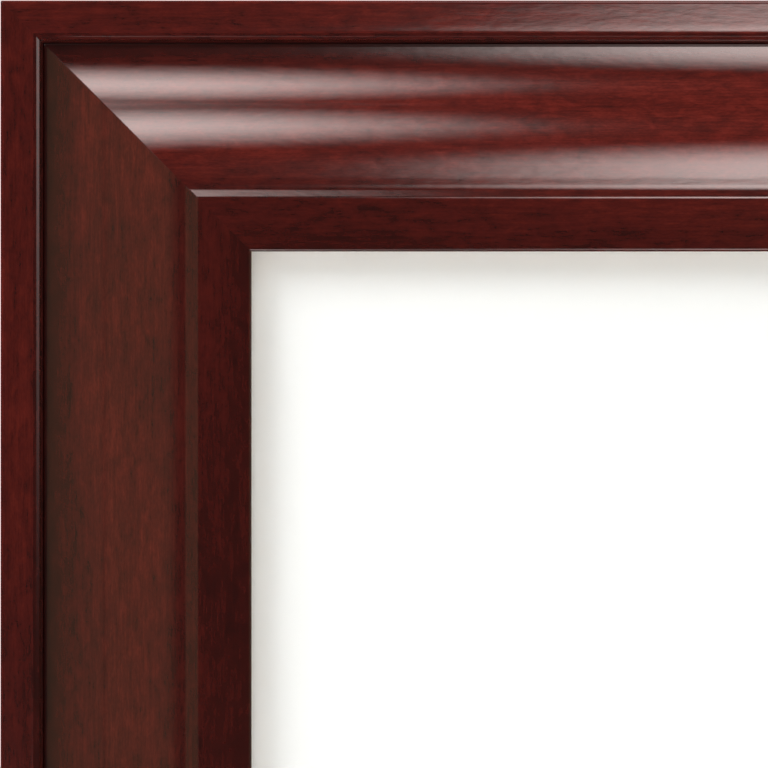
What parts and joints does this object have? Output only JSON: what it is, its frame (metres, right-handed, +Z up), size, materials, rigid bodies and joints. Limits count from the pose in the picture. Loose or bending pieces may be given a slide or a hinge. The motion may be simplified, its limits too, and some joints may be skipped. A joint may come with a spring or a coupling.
{
  "type": "bevelled picture frame",
  "caption": "Rectangular wooden wall frame with a wide mitred ogee moulding that falls from a raised outer lip to a flat sight edge, glazed, with a blank white sheet.",
  "frame": {"origin": "where the wall hook bears inside the top hanger's ring, in the middle of its wire", "axes": "+Z up and +X to the right as one faces the picture, which looks along -Y; the wall is at y = +2.85 mm"},
  "size_m": [0.3968, 0.035, 0.4731],
  "materials": {
    "stained_wood": "red-brown mahogany stain under satin lacquer",
    "clear_glass": "clear float glass",
    "white_card": "blank white matt card",
    "filler_card": "plain brown card",
    "hardboard": "smooth brown hardboard",
    "nail_steel": "bright steel",
    "zinc_steel": "zinc plated, satin",
    "ring_steel": "nickel plated, bright",
    "brassed_screws": "brass plated",
    "bumper_rubber": "matt black"
  },
  "bodies": {
    "frame": {"top_rail": "stained_wood", "bottom_rail": "stained_wood", "left_stile": "stained_wood", "right_stile": "stained_wood", "corner_nails_top_left": "nail_steel", "corner_nails_top_right": "nail_steel", "corner_nails_bottom_left": "nail_steel", "corner_nails_bottom_right": "nail_steel", "glazing": "clear_glass", "insert_sheet": "white_card", "filler_board": "filler_card", "backing_board": "hardboard", "turn_button_screws": "brassed_screws", "hanger_strap_top": "zinc_steel", "hanger_strap_side": "zinc_steel", "hanger_screws": "brassed_screws", "wall_bumper_top_left": "bumper_rubber", "wall_bumper_top_right": "bumper_rubber", "wall_bumper_bottom_left": "bumper_rubber", "wall_bumper_bottom_right": "bumper_rubber"},
    "button_top_left": {"turn_button_top_left": "zinc_steel"},
    "button_top_right": {"turn_button_top_right": "zinc_steel"},
    "button_bottom_left": {"turn_button_bottom_left": "zinc_steel"},
    "button_bottom_right": {"turn_button_bottom_right": "zinc_steel"},
    "button_left_upper": {"turn_button_left_upper": "zinc_steel"},
    "button_left_lower": {"turn_button_left_lower": "zinc_steel"},
    "button_right_upper": {"turn_button_right_upper": "zinc_steel"},
    "button_right_lower": {"turn_button_right_lower": "zinc_steel"},
    "ring_top": {"hanger_ring_top": "ring_steel"},
    "ring_side": {"hanger_ring_side": "ring_steel"}
  },
  "joints": [
    {"name": "button_turn_top_left", "type": "hinge", "parent": "frame", "child": "button_top_left", "pos_m": [-0.07544, -0.00215, -0.03955], "axis": [0, 1, 0], "continuous": true},
    {"name": "button_turn_top_right", "type": "hinge", "parent": "frame", "child": "button_top_right", "pos_m": [0.07544, -0.00215, -0.03955], "axis": [0, 1, 0], "continuous": true},
    {"name": "button_turn_bottom_left", "type": "hinge", "parent": "frame", "child": "button_bottom_left", "pos_m": [-0.07544, -0.00215, -0.42035], "axis": [0, 1, 0], "continuous": true},
    {"name": "button_turn_bottom_right", "type": "hinge", "parent": "frame", "child": "button_bottom_right", "pos_m": [0.07544, -0.00215, -0.42035], "axis": [0, 1, 0], "continuous": true},
    {"name": "button_turn_left_upper", "type": "hinge", "parent": "frame", "child": "button_left_upper", "pos_m": [-0.1523, -0.00215, -0.13394], "axis": [0, 1, 0], "continuous": true},
    {"name": "button_turn_left_lower", "type": "hinge", "parent": "frame", "child": "button_left_lower", "pos_m": [-0.1523, -0.00215, -0.32596], "axis": [0, 1, 0], "continuous": true},
    {"name": "button_turn_right_upper", "type": "hinge", "parent": "frame", "child": "button_right_upper", "pos_m": [0.1523, -0.00215, -0.13394], "axis": [0, 1, 0], "continuous": true},
    {"name": "button_turn_right_lower", "type": "hinge", "parent": "frame", "child": "button_right_lower", "pos_m": [0.1523, -0.00215, -0.32596], "axis": [0, 1, 0], "continuous": true},
    {"name": "ring_swing_top", "type": "hinge", "parent": "frame", "child": "ring_top", "pos_m": [0, 0, -0.0094], "axis": [-1, 0, 0], "range_deg": [0, 170]},
    {"name": "ring_swing_side", "type": "hinge", "parent": "frame", "child": "ring_side", "pos_m": [-0.18245, 0, -0.22995], "axis": [0, 0, -1], "range_deg": [0, 170]}
  ]
}
